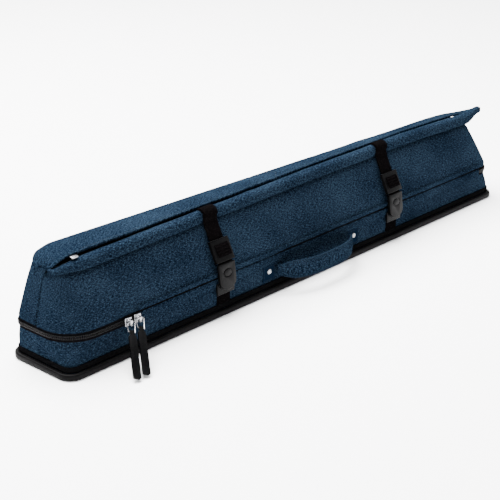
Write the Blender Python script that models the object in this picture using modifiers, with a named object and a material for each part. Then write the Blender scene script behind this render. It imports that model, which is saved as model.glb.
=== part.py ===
"""Long padded carry case for a telescope tube, lying shut on its stiff base.

X runs along the case, near end at -X and far end at +X. The handle and the two buckled
straps are on the front, -Y; the lid turns on the cloth hinge at the back, +Y.
Metres, Z up. The origin is the centre of the underside of the base board.
"""
import bmesh
import bpy
import numpy as np
from math import atan2, cos, pi, sin, sqrt
from mathutils import Matrix, Vector

# ---------------------------------------------------------------- driving sizes
GAP = 0.0003               # clearance between pieces that touch
CASE_LENGTH = 0.920
CASE_WIDTH = 0.120
RIM_REACH = 0.007          # how far the black rim stands out from the wall
RIM_HEIGHT = 0.009
BAND_HEIGHT = 0.008
BAND_T = 0.0015
BOARD_T = 0.004
WALL_T = 0.003
SIDE_PAD_T = 0.006
FLOOR_PAD_T = 0.010
LID_PAD_T = 0.005
PAD_EASE = 0.0008          # extra room behind the padding, where the wall leans at its corners
PAD_TOP_SHARE = 0.62       # how far up the leaning lid wall its padding goes
POCKET_T = 0.002
POCKET_EASE = 0.0025       # room left round the pocket floor
POCKET_DROP = 0.0203       # from the lid's front top edge down to the pocket floor
PARTING_Z = 0.0505         # the zipper's middle, where tray and lid meet
LID_RISE = 0.0883          # from there to the lid's front top edge
LEAN_START = 0.0095        # from the zipper's middle up to where the lid wall starts to lean
WAIST_DROP = 0.0075        # and down to where the tray has its full wide corners
SIDE_PAD_DROP = 0.002      # side padding's and cradles' tops, below the zipper's middle
CRADLE_DROP = 0.0045
LID_PAD_START = 0.0015     # lid padding's lower edge, above it
FOOT_R = 0.014             # corner radius of the wall at the base
WAIST_R = (0.046, 0.030, 0.016, 0.018)    # near front, far front, far back, near back
CROWN_R = (0.012, 0.012, 0.010, 0.010)
TOP_FRONT_Y = -0.024
TOP_BACK_Y = 0.027
NEAR_LEAN = 0.003          # how far each end of the lid leans in over its height
FAR_LEAN = 0.038
TAPE_T = 0.0008
TAPE_EDGE = 0.0005         # zipper tape's two edges, from the zipper's middle
TAPE_REACH = 0.0065
COIL_T = 0.0008
COIL_HALF = 0.0024
HEM_T = 0.0009
HEM_BELOW = 0.0069         # tray hem's lower edge, below the zipper's middle
HEM_HEIGHT = 0.0067        # height of the lid's hem
HEM_SLIT = 0.0013          # the dark line left between the two hems
HEM_SLIT_LIFT = 0.0055     # from the zipper's middle up to that line
TUBE_SEAT_R = 0.036
TUBE_LIFT = 0.0114         # foam left under the tube
CRADLE_LENGTH = 0.040
CRADLE_INSET = 0.153       # end cradle's middle, from the end wall
HINGE_INSET = 0.028        # cloth hinge's ends, from the end walls
HINGE_EDGE = 0.0006        # cloth hinge's edges, from the zipper's middle
HINGE_BELOW = 0.0205
HINGE_OUT = 0.0002         # lid's axis, outside the middle of the hinge cloth
WEB_WIDTH = 0.025
WEB_T = 0.0016
STRAP_X = 0.184
WEB_TUCK = 0.0195          # lower strap's double fold, below the zipper's middle
WEB_TOP = 0.0075
BASE_WIDTH = 0.033
BASE_HEIGHT = 0.0165
BASE_T = 0.0032
BASE_DROP = 0.0010         # buckle base's top, below the zipper's middle
HARDWARE_STAND = 0.0004    # clearance of the hardware from the hems behind it
PLATE_WIDTH = 0.031
PLATE_LENGTH = 0.0373
PLATE_T = 0.0042
PLATE_FOOT_R = 0.012
PLATE_TILT = 0.0045        # how much further out the plate's foot is than its head
BUTTON_WIDTH = 0.0156
BUTTON_HEIGHT = 0.0112
BUTTON_T = 0.0015
BUTTON_DROP = 0.0135       # from the plate's head to the button's middle
WELL_DEPTH = 0.0026
GLIDE_WIDTH = 0.034
GLIDE_T = 0.0050
FOLD_LENGTH = 0.0160
FOLD_T = 0.0023
GLIDE_LENGTH = 0.031
RIVET_X = 0.0926
RIVET_DROP = 0.0165        # rivets and handle axis, below the zipper's middle
RIVET_R = 0.0015
TAB_WIDTH = 0.0244
TAB_T = 0.0015
TAB_BELOW = 0.0140
TAB_ABOVE = 0.0092
HANDLE_BOW = 0.0277
GRIP_HEIGHT = 0.027
GRIP_T = 0.0040
PULL_LENGTH = 0.0787
PULL_WIDTH = 0.0104
PULL_T = 0.0032
NECK_WIDTH = 0.0058
PULL_TIP_Z = 0.0042
WIRE_R = 0.0009
LINK_WIDTH = 0.0136        # wire loop's width at the slider
LINK_FOOT = 0.0092         # and at the pull
EYE_TO_BORE = 0.0134
SLIDER_SIZE = 0.011
SLIDER_T = 0.0022
LEFT_SLIDER_INSET = 0.0934
SLIDER_PITCH = 0.0157
FLAP_T = 0.003

# sizes that follow from them
WALL_HL = CASE_LENGTH / 2 - RIM_REACH
WALL_HW = CASE_WIDTH / 2 - RIM_REACH
FRONT = -WALL_HW
BACK = WALL_HW
BAND_TOP = RIM_HEIGHT + BAND_HEIGHT
LID_STRAIGHT = PARTING_Z + LEAN_START     # the lid wall is upright up to here
TAPE_OUT = GAP + TAPE_T
COIL_OUT = TAPE_OUT + GAP + COIL_T
HEM_IN = COIL_OUT + GAP
HEM_OUT = HEM_IN + HEM_T
PAD_IN = WALL_T + GAP + PAD_EASE
FLOOR_TOP = BOARD_T + GAP + FLOOR_PAD_T
SLIDER_X = {"left": -WALL_HL + LEFT_SLIDER_INSET, "right": -WALL_HL + LEFT_SLIDER_INSET + SLIDER_PITCH}
RIVET_Z = PARTING_Z - RIVET_DROP

for old in list(bpy.data.objects):
    bpy.data.objects.remove(old, do_unlink=True)

case = bpy.data.collections.new("telescope_carry_case")
cutters = bpy.data.collections.new("cutters")
bpy.context.scene.collection.children.link(case)
bpy.context.scene.collection.children.link(cutters)

# colour, roughness, metallic
CLOTH = ((0.024, 0.055, 0.100), 0.90, 0.0)
BLACK = ((0.012, 0.012, 0.013), 0.85, 0.0)
FOAM = ((0.060, 0.062, 0.066), 0.95, 0.0)
PLASTIC = ((0.050, 0.050, 0.055), 0.45, 0.0)
RUBBER = ((0.020, 0.020, 0.022), 0.60, 0.0)
METAL = ((0.600, 0.610, 0.630), 0.25, 1.0)


# ---------------------------------------------------------------- modelling helpers
def adopt(ob, name, look):
    """Name an object and put it with the parts, or with the cutters if it has no look."""
    ob.name = name
    for home in list(ob.users_collection):
        home.objects.unlink(ob)
    if look is None:
        cutters.objects.link(ob)
        ob.hide_render = True
        ob.display_type = "WIRE"
        return ob
    case.objects.link(ob)
    colour, rough, metal = look
    mat = bpy.data.materials.new(name + "_surface")
    mat.use_nodes = True
    shader = mat.node_tree.nodes["Principled BSDF"]
    shader.inputs["Base Color"].default_value = (*colour, 1.0)
    shader.inputs["Roughness"].default_value = rough
    shader.inputs["Metallic"].default_value = metal
    ob.data.materials.append(mat)
    return ob


def block(name, centre, size, look, turn=0.0):
    """A box, turned about X."""
    bpy.ops.mesh.primitive_cube_add(size=1.0, location=centre, rotation=(turn, 0, 0))
    ob = bpy.context.object
    ob.scale = size
    bpy.ops.object.transform_apply(location=False, rotation=False, scale=True)
    return adopt(ob, name, look)


def slab(name, x0, x1, y0, y1, z0, z1, look):
    """An upright box between two corners."""
    return block(name, ((x0 + x1) / 2, (y0 + y1) / 2, (z0 + z1) / 2), (x1 - x0, y1 - y0, z1 - z0), look)


def cylinder(name, centre, radius, length, turn, look=None, sides=16):
    bpy.ops.mesh.primitive_cylinder_add(vertices=sides, radius=radius, depth=length, location=centre,
                                        rotation=turn)
    return adopt(bpy.context.object, name, look)


def flat(name, outline, thickness, centre, turn, look):
    """A flat outline with thickness, given in its own plane."""
    curve = bpy.data.curves.new(name, "CURVE")
    curve.dimensions = "2D"
    curve.fill_mode = "BOTH"
    curve.extrude = thickness / 2
    spline = curve.splines.new("POLY")
    spline.points.add(len(outline) - 1)
    for point, (x, y) in zip(spline.points, outline):
        point.co = (x, y, 0.0, 1.0)
    spline.use_cyclic_u = True
    ob = bpy.data.objects.new(name, curve)
    ob.location = centre
    ob.rotation_euler = turn
    bpy.context.scene.collection.objects.link(ob)
    return adopt(ob, name, look)


def to_mesh(ob):
    """A curve object as a welded mesh of the same name and place, ready to be cut."""
    bpy.context.view_layer.update()
    graph = bpy.context.evaluated_depsgraph_get()
    mesh = bpy.data.meshes.new_from_object(ob.evaluated_get(graph))
    shell = bmesh.new()
    shell.from_mesh(mesh)
    bmesh.ops.remove_doubles(shell, verts=shell.verts, dist=0.00001)
    shell.to_mesh(mesh)
    shell.free()
    name = ob.name
    home = ob.users_collection[0]
    made = bpy.data.objects.new(name, mesh)
    made.matrix_world = ob.matrix_world.copy()
    bpy.data.objects.remove(ob, do_unlink=True)
    made.name = name
    home.objects.link(made)
    made.hide_render = home == cutters
    return made


def skin(name, rows, closed, thickness, look):
    """An open surface through rows of points, thickened inward."""
    n = len(rows[0])
    faces = []
    for k in range(len(rows) - 1):
        for i in range(n if closed else n - 1):
            j = (i + 1) % n
            faces.append((k * n + i, k * n + j, (k + 1) * n + j, (k + 1) * n + i))
    mesh = bpy.data.meshes.new(name)
    mesh.from_pydata([p for row in rows for p in row], [], faces)
    mesh.shade_smooth()
    mesh.set_sharp_from_angle(angle=0.7)
    ob = bpy.data.objects.new(name, mesh)
    bpy.context.scene.collection.objects.link(ob)
    wall = ob.modifiers.new("thickness", "SOLIDIFY")
    wall.thickness = thickness
    wall.offset = -1.0
    wall.use_even_offset = True
    return adopt(ob, name, look)


def loft(name, sections, look):
    """A solid through unlike sections of equal count, flat at both ends."""
    n = len(sections[0])
    faces = [tuple(reversed(range(n)))]
    for k in range(len(sections) - 1):
        for i in range(n):
            j = (i + 1) % n
            faces.append((k * n + i, k * n + j, (k + 1) * n + j, (k + 1) * n + i))
    faces.append(tuple((len(sections) - 1) * n + i for i in range(n)))
    mesh = bpy.data.meshes.new(name)
    mesh.from_pydata([p for s in sections for p in s], [], faces)
    ob = bpy.data.objects.new(name, mesh)
    bpy.context.scene.collection.objects.link(ob)
    bpy.context.view_layer.objects.active = ob
    bpy.ops.object.select_all(action="DESELECT")
    ob.select_set(True)
    bpy.ops.object.mode_set(mode="EDIT")
    bpy.ops.mesh.select_all(action="SELECT")
    bpy.ops.mesh.normals_make_consistent(inside=False)
    bpy.ops.object.mode_set(mode="OBJECT")
    return adopt(ob, name, look)


def boolean(target, tool, operation="DIFFERENCE"):
    mod = target.modifiers.new(operation.lower(), "BOOLEAN")
    mod.operation = operation
    mod.solver = "EXACT"
    mod.object = tool


def pivot(name, place, parent=None):
    """An empty on a joint's axis that carries the pieces which turn or slide there."""
    empty = bpy.data.objects.new(name, None)
    empty.empty_display_size = 0.02
    case.objects.link(empty)
    empty.location = place
    if parent:
        carry(parent, empty)
    return empty


def carry(empty, *pieces):
    """Parent pieces to an empty and leave them where they are."""
    bpy.context.view_layer.update()
    for piece in pieces:
        piece.parent = empty
        piece.matrix_parent_inverse = empty.matrix_world.inverted()


# ---------------------------------------------------------------- plan outlines
def arc(cx, cy, r, start, steps=5):
    quarter = [start + pi / 2 * k / steps for k in range(steps + 1)]
    return [(cx + r * cos(t), cy + r * sin(t)) for t in quarter]


def plan(x0, x1, y0, y1, radii, seam_near, seam_far):
    return dict(x0=x0, x1=x1, y0=y0, y1=y1, radii=radii, seam_near=seam_near, seam_far=seam_far)


def mix(a, b, t):
    out = {k: a[k] + (b[k] - a[k]) * t for k in a if k != "radii"}
    out["radii"] = tuple(p + (q - p) * t for p, q in zip(a["radii"], b["radii"]))
    return out


def outline(p, part, inset=0.0):
    """One stretch of the plan: front, far, back or near between its seams, zipper for
    the run that stops short of the cloth hinge, or all for the closed loop."""
    x0, x1, y0, y1 = p["x0"] + inset, p["x1"] - inset, p["y0"] + inset, p["y1"] - inset
    r = [max(v - inset, 0.0015) for v in p["radii"]]
    near_front = arc(x0 + r[0], y0 + r[0], r[0], pi)
    far_front = arc(x1 - r[1], y0 + r[1], r[1], 1.5 * pi)
    far_back = arc(x1 - r[2], y1 - r[2], r[2], 0.0)
    near_back = arc(x0 + r[3], y1 - r[3], r[3], 0.5 * pi)
    along = [(share * WALL_HL, y0) for share in STATIONS]
    behind = [(share * WALL_HL, y1) for share in reversed(STATIONS)]
    far_tie = p["x1"] - p["radii"][2] - 0.004
    near_tie = p["x0"] + p["radii"][3] + 0.004
    ease = GAP * 0.7
    near_seam, far_seam = p["seam_near"], p["seam_far"]
    stretches = {
        "front": [(x0, near_seam - ease)] + near_front + along + far_front + [(x1, far_seam - ease)],
        "far": [(x1, far_seam + ease)] + far_back + [(far_tie + ease, y1)],
        "back": [(far_tie - ease, y1)] + behind + [(near_tie + ease, y1)],
        "near": [(near_tie - ease, y1)] + near_back + [(x0, near_seam + ease)],
        "zipper": near_back[ZIP_STOP:] + near_front + along + far_front + far_back[:-ZIP_STOP],
        "all": near_front + along + far_front + far_back + behind + near_back,
    }
    return stretches[part]


STATIONS = (-0.73, 0.0, 0.55)              # shares of the half length where the top bends
ZIP_STOP = 2                               # steps of each back corner that the zipper leaves free
foot = plan(-WALL_HL, WALL_HL, FRONT, BACK, (FOOT_R,) * 4, 0.008, 0.0)
waist = plan(-WALL_HL, WALL_HL, FRONT, BACK, WAIST_R, 0.008, 0.0)
crown = plan(-WALL_HL + NEAR_LEAN, WALL_HL - FAR_LEAN, TOP_FRONT_Y, TOP_BACK_Y, CROWN_R, -0.008, 0.0)


def front_top(x):
    """Height of the lid's front top edge: low at the near end, highest past the middle."""
    dip = np.interp(x / WALL_HL, (-1.0, 0.0, 0.55, 0.92), (-0.0060, 0.0, 0.0012, -0.0038))
    return PARTING_Z + LID_RISE + float(dip)


BACK_FALL = 0.0215                         # the back top edge falls towards the far end


def back_top(x):
    return PARTING_Z + LID_RISE - 0.0023 - BACK_FALL * x


def level(p, part, z, inset=0.0):
    return [(x, y, z) for x, y in outline(p, part, inset)]


def lid_level(t, part, inset=0.0):
    """A level of the leaning lid wall: t is 0 where it starts to lean and 1 at the top."""
    row = []
    for (x, y), (cx, cy) in zip(outline(mix(waist, crown, t), part, inset), outline(crown, part, inset)):
        share = (cy - TOP_FRONT_Y) / (TOP_BACK_Y - TOP_FRONT_Y)
        top = front_top(cx) + (back_top(cx) - front_top(cx)) * share
        row.append((x, y, LID_STRAIGHT + (top - LID_STRAIGHT) * t))
    return row


def lean_room():
    """How much wider the lid wall is when cut level, at its steepest lean, than it is thick."""
    steepest = 0.0
    for low, high in zip(lid_level(0.0, "all"), lid_level(1.0, "all")):
        run = (low[0] - high[0]) ** 2 + (low[1] - high[1]) ** 2
        steepest = max(steepest, run / (high[2] - low[2]) ** 2)
    return sqrt(1 + steepest)


# ---------------------------------------------------------------- tray: base, wall and padding
flat("base_board", outline(foot, "all", WALL_T + GAP), BOARD_T, (0, 0, BOARD_T / 2), (0, 0, 0), BLACK)

rim = skin("base_rim", [level(foot, "all", z, -RIM_REACH) for z in (0.0, RIM_HEIGHT)], True,
           RIM_REACH - GAP, BLACK)
soft = rim.modifiers.new("round", "BEVEL")
soft.width = RIM_HEIGHT * 0.3
soft.segments = 2
soft.limit_method = "ANGLE"
soft.angle_limit = 0.9

skin("base_band", [level(foot, "all", z, -GAP - BAND_T) for z in (RIM_HEIGHT + GAP, BAND_TOP)], True,
     BAND_T, BLACK)


def tray_rows(low, high, inset):
    """The wall's rows: straight over the base, then easing into the wide corners."""
    return [level(foot, "all", low, inset), level(foot, "all", BAND_TOP, inset),
            level(waist, "all", PARTING_Z - WAIST_DROP, inset), level(waist, "all", high, inset)]


tray_wall = skin("tray_wall", tray_rows(0.0, PARTING_Z - GAP, 0.0), True, WALL_T, CLOTH)
floor_middle = (0, 0, FLOOR_TOP - FLOOR_PAD_T / 2)
flat("floor_pad", outline(foot, "all", WALL_T + GAP), FLOOR_PAD_T, floor_middle, (0, 0, 0), FOAM)
skin("side_pad", tray_rows(FLOOR_TOP + GAP, PARTING_Z - SIDE_PAD_DROP, PAD_IN), True, SIDE_PAD_T, FOAM)

# three foam cradles, each with a round seat for the tube
cradle_hw = WALL_HW - PAD_IN - SIDE_PAD_T - GAP
cradle_low = FLOOR_TOP + GAP
cradle_top = PARTING_Z - CRADLE_DROP
tube_z = cradle_low + TUBE_LIFT + TUBE_SEAT_R
end_cradle_x = WALL_HL - CRADLE_INSET
half = CRADLE_LENGTH / 2
for label, cx in (("near", -end_cradle_x), ("middle", 0.0), ("far", end_cradle_x)):
    cradle_x = (cx - half, cx + half)
    cradle = slab("cradle_" + label, *cradle_x, -cradle_hw, cradle_hw, cradle_low, cradle_top, FOAM)
    along_x = (0, pi / 2, 0)
    seat = cylinder("seat_" + label, (cx, 0, tube_z), TUBE_SEAT_R, CRADLE_LENGTH * 1.5, along_x, sides=28)
    boolean(cradle, seat)

# ---------------------------------------------------------------- zipper halves and cloth hinge
LID_AXIS = Vector((0.0, BACK + GAP + TAPE_T / 2 + HINGE_OUT, PARTING_Z))
lid_pivot = pivot("lid_axis", LID_AXIS)
hem_x = (SLIDER_X["right"] + 0.0039, WALL_HL - FAR_LEAN)
hinge_x = (-WALL_HL + HINGE_INSET, WALL_HL - HINGE_INSET)
hem_y = (FRONT - HEM_OUT, FRONT - HEM_IN)
slit_z = PARTING_Z + HEM_SLIT_LIFT
hem_z = {"tray": (PARTING_Z - HEM_BELOW, slit_z), "lid": (slit_z + HEM_SLIT, slit_z + HEM_SLIT + HEM_HEIGHT)}
hinge_y = (BACK + GAP, BACK + TAPE_OUT)
for part, side in (("tray", -1), ("lid", 1)):
    tape_z = sorted((PARTING_Z + side * TAPE_EDGE, PARTING_Z + side * TAPE_REACH))
    coil_z = sorted((PARTING_Z + side * GAP, PARTING_Z + side * (GAP + COIL_HALF)))
    strip_z = sorted((PARTING_Z + side * HINGE_EDGE, PARTING_Z + (LEAN_START if side > 0 else -HINGE_BELOW)))
    tape_rows = [level(waist, "zipper", z, -TAPE_OUT) for z in tape_z]
    coil_rows = [level(waist, "zipper", z, -COIL_OUT) for z in coil_z]
    pieces = [
        skin(part + "_zip_tape", tape_rows, False, TAPE_T, BLACK),
        skin(part + "_zip_coil", coil_rows, False, COIL_T, BLACK),
        slab(part + "_zip_hem", *hem_x, *hem_y, *hem_z[part], CLOTH),
        slab(part + "_hinge_strip", *hinge_x, *hinge_y, *strip_z, BLACK),
    ]
    if part == "lid":
        carry(lid_pivot, *pieces)

# ---------------------------------------------------------------- lower straps and buckle bases
PROUD = HEM_OUT + HARDWARE_STAND           # hardware on the front stands clear of the hems
BASE_TOP = PARTING_Z - BASE_DROP
SIDEWAYS = (pi / 2, 0, pi / 2)             # turns an outline drawn in Y and Z to face along X
for label, sx in (("near", -STRAP_X), ("far", STRAP_X)):
    low, tuck, high = BAND_TOP + GAP, PARTING_Z - WEB_TUCK, PARTING_Z - WEB_TOP
    inner = FRONT - GAP
    fold = [(inner, low), (inner - WEB_T, low), (inner - WEB_T, tuck), (inner - 2 * WEB_T, tuck),
            (inner - 2 * WEB_T, high), (inner, high)]
    flat("lower_web_" + label, fold, WEB_WIDTH, (sx, 0, 0), SIDEWAYS, BLACK)
    base_x = (sx - BASE_WIDTH / 2, sx + BASE_WIDTH / 2)
    base_y = (FRONT - PROUD - BASE_T, FRONT - PROUD)
    slab("buckle_base_" + label, *base_x, *base_y, BASE_TOP - BASE_HEIGHT, BASE_TOP, PLASTIC)

# ---------------------------------------------------------------- handle: tabs, rivets and grip
for label, side in (("near", -1), ("far", 1)):
    rx = side * RIVET_X
    tab_x = (rx - TAB_WIDTH / 2, rx + TAB_WIDTH / 2)
    tab_y = (FRONT - GAP - TAB_T, FRONT - GAP)
    tab = slab("handle_tab_" + label, *tab_x, *tab_y, RIVET_Z - TAB_BELOW, RIVET_Z + TAB_ABOVE, CLOTH)
    hole = cylinder("rivet_hole_" + label, (rx, FRONT, RIVET_Z), RIVET_R + GAP, 0.012, (pi / 2, 0, 0))
    boolean(tab, hole)
    boolean(tray_wall, hole)
    profile = [(0.0, 0.0040), (0.0016, 0.0039), (0.0032, 0.0035), (0.0040, 0.0028), (0.0042, 0.0021),
               (RIVET_R, 0.0021), (RIVET_R, -WALL_T + GAP), (0.0, -WALL_T + GAP)]
    mesh = bpy.data.meshes.new("rivet_" + label)
    mesh.from_pydata([(x, 0, z) for x, z in profile], [(i, i + 1) for i in range(len(profile) - 1)], [])
    rivet = bpy.data.objects.new("rivet_" + label, mesh)
    bpy.context.scene.collection.objects.link(rivet)
    rivet.location = (rx, FRONT, RIVET_Z)
    rivet.rotation_euler = (pi / 2, 0, 0)
    turn = rivet.modifiers.new("turn", "SCREW")
    turn.steps = 16
    turn.render_steps = 16
    turn.use_merge_vertices = True
    turn.merge_threshold = 0.00002
    turn.use_smooth_shade = True
    adopt(rivet, "rivet_" + label, METAL)

# the grip bows out from the wall; its ends narrow so that it can turn there
GRIP_STAND = 0.0036                        # the turning grip's ends clear the hems above them
GRIP_OUT = PROUD + GRIP_STAND
GRIP_END = 0.0062                          # half height at its ends
BOW_POWER = 3.2
grip_pivot = pivot("handle_axis", (0.0, FRONT - GRIP_OUT, RIVET_Z))
grip_hl = RIVET_X - TAB_WIDTH / 2 - 0.0009
grip_rows = []
for k in range(15):
    s = -1 + 2 * k / 14
    reach = HANDLE_BOW * (1 - abs(s) ** BOW_POWER)
    slant = atan2(HANDLE_BOW * BOW_POWER * abs(s) ** (BOW_POWER - 1) * np.sign(s), grip_hl)
    tall = GRIP_END + (GRIP_HEIGHT / 2 - GRIP_END) * min(1.0, (1 - abs(s)) / 0.16) ** 0.8
    nx, ny = -sin(slant) * GRIP_T / 2, cos(slant) * GRIP_T / 2
    x, y = grip_hl * s, grip_pivot.location.y - reach
    grip_rows.append([(x - nx, y - ny, RIVET_Z - tall), (x - nx, y - ny, RIVET_Z + tall),
                      (x + nx, y + ny, RIVET_Z + tall), (x + nx, y + ny, RIVET_Z - tall)])
carry(grip_pivot, loft("handle_grip", grip_rows, CLOTH))

# ---------------------------------------------------------------- lid: four panels, padding, pocket
for part in ("front", "far", "back", "near"):
    rows = [level(waist, part, PARTING_Z + GAP)] + [lid_level(t, part) for t in (0.0, 0.5, 1.0)]
    carry(lid_pivot, skin("lid_" + part + "_panel", rows, False, WALL_T, CLOTH))

lid_inset = WALL_T * lean_room() + GAP
pad_rows = [level(waist, "all", PARTING_Z + LID_PAD_START, lid_inset)]
pad_rows += [lid_level(t, "all", lid_inset) for t in (0.0, 0.5, PAD_TOP_SHARE)]
pocket_middle = (0, 0, PARTING_Z + LID_RISE - POCKET_DROP)
pocket_top = pocket_middle[2] + POCKET_T / 2

# the pocket floor follows the wall's own outline at the floor's height
pocket_shape = []
for i, (x, y, high) in enumerate(lid_level(1.0, "all")):
    share = (pocket_top - LID_STRAIGHT) / (high - LID_STRAIGHT)
    pocket_shape.append(outline(mix(waist, crown, share), "all", lid_inset + POCKET_EASE)[i])
carry(lid_pivot,
      skin("lid_pad", pad_rows, True, LID_PAD_T, FOAM),
      flat("pocket_floor", pocket_shape, POCKET_T, pocket_middle, (0, 0, 0), BLACK))

# the rolled lip along the front top edge, tapering into an ear past the far end;
# each corner is (Y, height over the front top edge)
LIP_TOP = 0.0095
LIP_BACK = TOP_FRONT_Y + 0.0060
LIP = ((TOP_FRONT_Y - 0.0050, -0.0017), (TOP_FRONT_Y - 0.0045, 0.0060), (TOP_FRONT_Y - 0.0015, 0.0090),
       (LIP_BACK, LIP_TOP), (LIP_BACK, 0.0020), (TOP_FRONT_Y + 0.0008, 0.0011),
       (TOP_FRONT_Y - 0.0007, 0.0003), (TOP_FRONT_Y - 0.0016, -0.0017))
NEAR_TOP_X = -WALL_HL + 0.017
FAR_TOP_X = WALL_HL - 0.048
RUN = [NEAR_TOP_X] + [share * WALL_HL for share in STATIONS] + [0.75 * WALL_HL, FAR_TOP_X]
EAR_Y = TOP_FRONT_Y + 0.0008
lip_rows = [[(x, y, front_top(x) + h) for y, h in LIP] for x in RUN]
for reach, rise, thin in ((0.030, 0.0023, 0.70), (0.055, 0.0033, 0.35)):
    tip = front_top(FAR_TOP_X) + rise
    middle = tip + (1 - thin) * LIP_TOP / 2
    lip_rows.append([(FAR_TOP_X + reach, EAR_Y + (y - EAR_Y) * thin, middle + h * thin) for y, h in LIP])


def along_top(name, x_values, y0, y1, h0, h1, thickness, look):
    """A strip laid along the top, with its own height over the front top edge at each side."""
    rows = [[(x, y0, front_top(x) + h0) for x in x_values], [(x, y1, front_top(x) + h1) for x in x_values]]
    return skin(name, rows, False, thickness, look)


POCKET_RUN = RUN[:-1] + [FAR_TOP_X - 0.005]
pocket_tape_y = (LIP_BACK + 0.0004, LIP_BACK + 0.0060)
pocket_coil_y = (LIP_BACK + 0.0017, LIP_BACK + 0.0044)
pocket_tape = along_top("pocket_tape_lid", POCKET_RUN, *pocket_tape_y, 0.0013, 0.0013, 0.0009, BLACK)
carry(lid_pivot, loft("lid_lip", lip_rows, CLOTH), pocket_tape)

# strap roots, sewn over the lip
HOOK_DROP = 0.0104
HOOK = ((LIP_BACK - 0.0004, 0.0), (LIP_BACK - 0.0004, WEB_T), (TOP_FRONT_Y - 0.0028, WEB_T),
        (TOP_FRONT_Y - 0.0072, -0.0030), (TOP_FRONT_Y - 0.0076, -HOOK_DROP),
        (TOP_FRONT_Y - 0.0056, -HOOK_DROP), (TOP_FRONT_Y - 0.0054, -0.0036), (TOP_FRONT_Y - 0.0020, 0.0))
for label, sx in (("near", -STRAP_X), ("far", STRAP_X)):
    top = max(front_top(sx - WEB_WIDTH / 2), front_top(sx + WEB_WIDTH / 2)) + LIP_TOP + GAP
    hook = [(y, top + h) for y, h in HOOK]
    root = flat("strap_root_" + label, hook, WEB_WIDTH, (sx, 0, 0), SIDEWAYS, BLACK)
    carry(lid_pivot, root)

# ---------------------------------------------------------------- flap over the pocket
FLAP_FRONT_Y = LIP_BACK + GAP + FLAP_T * 0.3
flap_pivot = pivot("flap_axis", (0.0, TOP_BACK_Y - 0.0002, back_top(0.0) + 0.0012), lid_pivot)
flap_x = [NEAR_TOP_X - 0.0125] + RUN[1:] + [FAR_TOP_X + 0.025]
flap_rows = [[(x, FLAP_FRONT_Y, front_top(min(x, FAR_TOP_X)) + 0.0082) for x in flap_x],
             [(x, TOP_BACK_Y - 0.0005, back_top(x) + 0.0038) for x in flap_x]]
pocket_coil = along_top("pocket_coil_flap", POCKET_RUN, *pocket_coil_y, 0.0042, 0.0034, 0.0015, BLACK)
carry(flap_pivot, skin("flap_panel", flap_rows, False, FLAP_T, CLOTH), pocket_coil)

# small slider of the pocket zipper, riding on the lip
pocket_slider_x = NEAR_TOP_X + 0.024
lip_slope = (front_top(pocket_slider_x + 0.1) - front_top(pocket_slider_x)) / 0.1
on_lip = (pocket_slider_x, TOP_FRONT_Y + 0.0020, front_top(pocket_slider_x) + LIP_TOP + 0.0017)
pocket_slider = block("pocket_slider", on_lip, (0.010, 0.006, 0.0024), METAL)
pocket_slider.rotation_euler.y = -atan2(lip_slope, 1.0)
carry(lid_pivot, pocket_slider)

# ---------------------------------------------------------------- upper straps, glides and buckles
plate_top = Vector((0.0, FRONT - 0.0065, PARTING_Z + 0.0265))
plate_drop = sqrt(PLATE_LENGTH ** 2 - PLATE_TILT ** 2)
down = Vector((0.0, -PLATE_TILT, -plate_drop)).normalized()
face = Vector((0.0, down.z, -down.y))
plate_turn = (atan2(-down.z, -down.y), 0, 0)
plate_half = PLATE_WIDTH / 2
plate_shape = [(plate_half, 0.0), (-plate_half, 0.0)]
for t in np.linspace(0, pi, 9):
    plate_shape.append((-plate_half * cos(t), -PLATE_LENGTH + PLATE_FOOT_R * (1 - sin(t))))


def oval(width, height):
    turns = np.linspace(0, 2 * pi, 20, endpoint=False)
    return [(width / 2 * cos(t), height / 2 * sin(t)) for t in turns]


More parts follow.
